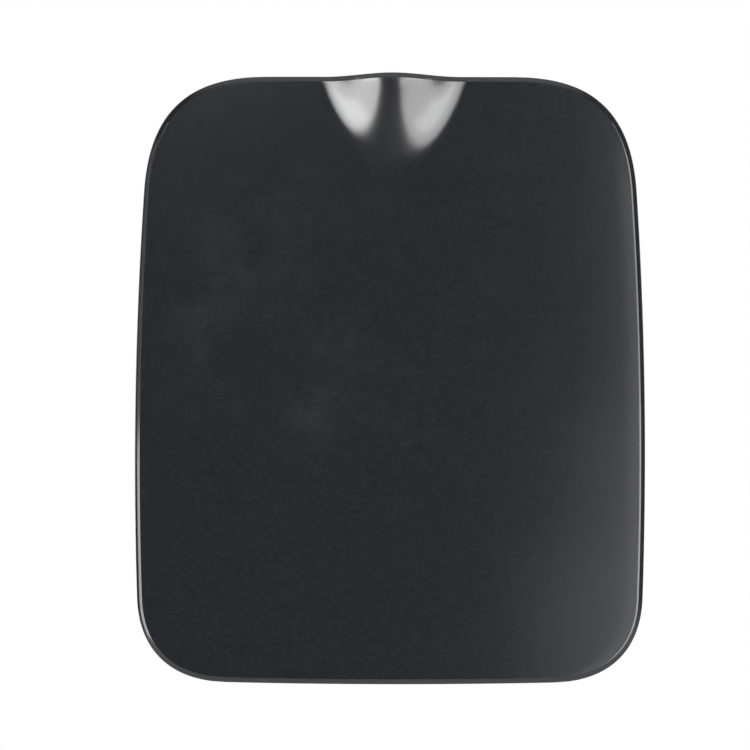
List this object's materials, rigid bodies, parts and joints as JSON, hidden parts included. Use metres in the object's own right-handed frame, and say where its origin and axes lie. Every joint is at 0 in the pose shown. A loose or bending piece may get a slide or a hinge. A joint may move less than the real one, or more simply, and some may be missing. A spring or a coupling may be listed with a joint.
{
  "type": "car fuel door",
  "caption": "Steel fuel door with a finger scoop, hemmed over an inner panel and swinging on a pinned hinge bracket.",
  "frame": {"origin": "middle of the two body screw holes, on the face of the hinge bracket that meets the car body", "axes": "+X along the hinge pin, to the right as the picture shows the door; +Z from the hinge towards the finger scoop; -Y out of the outer face"},
  "size_m": [0.1464, 0.0319, 0.1758],
  "materials": {
    "primed_steel": "satin black primer",
    "zinc_plate": "zinc plated sheet",
    "screw_steel": "plated steel",
    "spring_steel": "blued spring steel",
    "bush_plastic": "natural nylon",
    "buffer_rubber": "matt rubber",
    "mastic": "dull mastic"
  },
  "bodies": {
    "bracket": {"hinge_bracket": "zinc_plate", "hinge_pin": "screw_steel", "pin_washer": "zinc_plate", "pin_clip": "spring_steel", "detent_spring": "spring_steel", "spring_rivets": "screw_steel"},
    "door": {"outer_panel": "primed_steel", "inner_panel": "primed_steel", "mastic_pads": "mastic", "hinge_leaf": "zinc_plate", "hinge_screws": "screw_steel", "screw_washers": "zinc_plate", "weld_nuts": "screw_steel", "bush_left": "bush_plastic", "bush_right": "bush_plastic", "lock_eye": "zinc_plate", "lock_eye_rivets": "screw_steel", "buffer_lower_left": "buffer_rubber", "buffer_lower_right": "buffer_rubber", "buffer_upper_left": "buffer_rubber", "buffer_upper_right": "buffer_rubber"}
  },
  "joints": [
    {"name": "door_hinge", "type": "hinge", "parent": "bracket", "child": "door", "pos_m": [0, -0.016, -0.015], "axis": [1, 0, 0], "range_deg": [0, 90], "deforming": ["detent_spring"]}
  ]
}
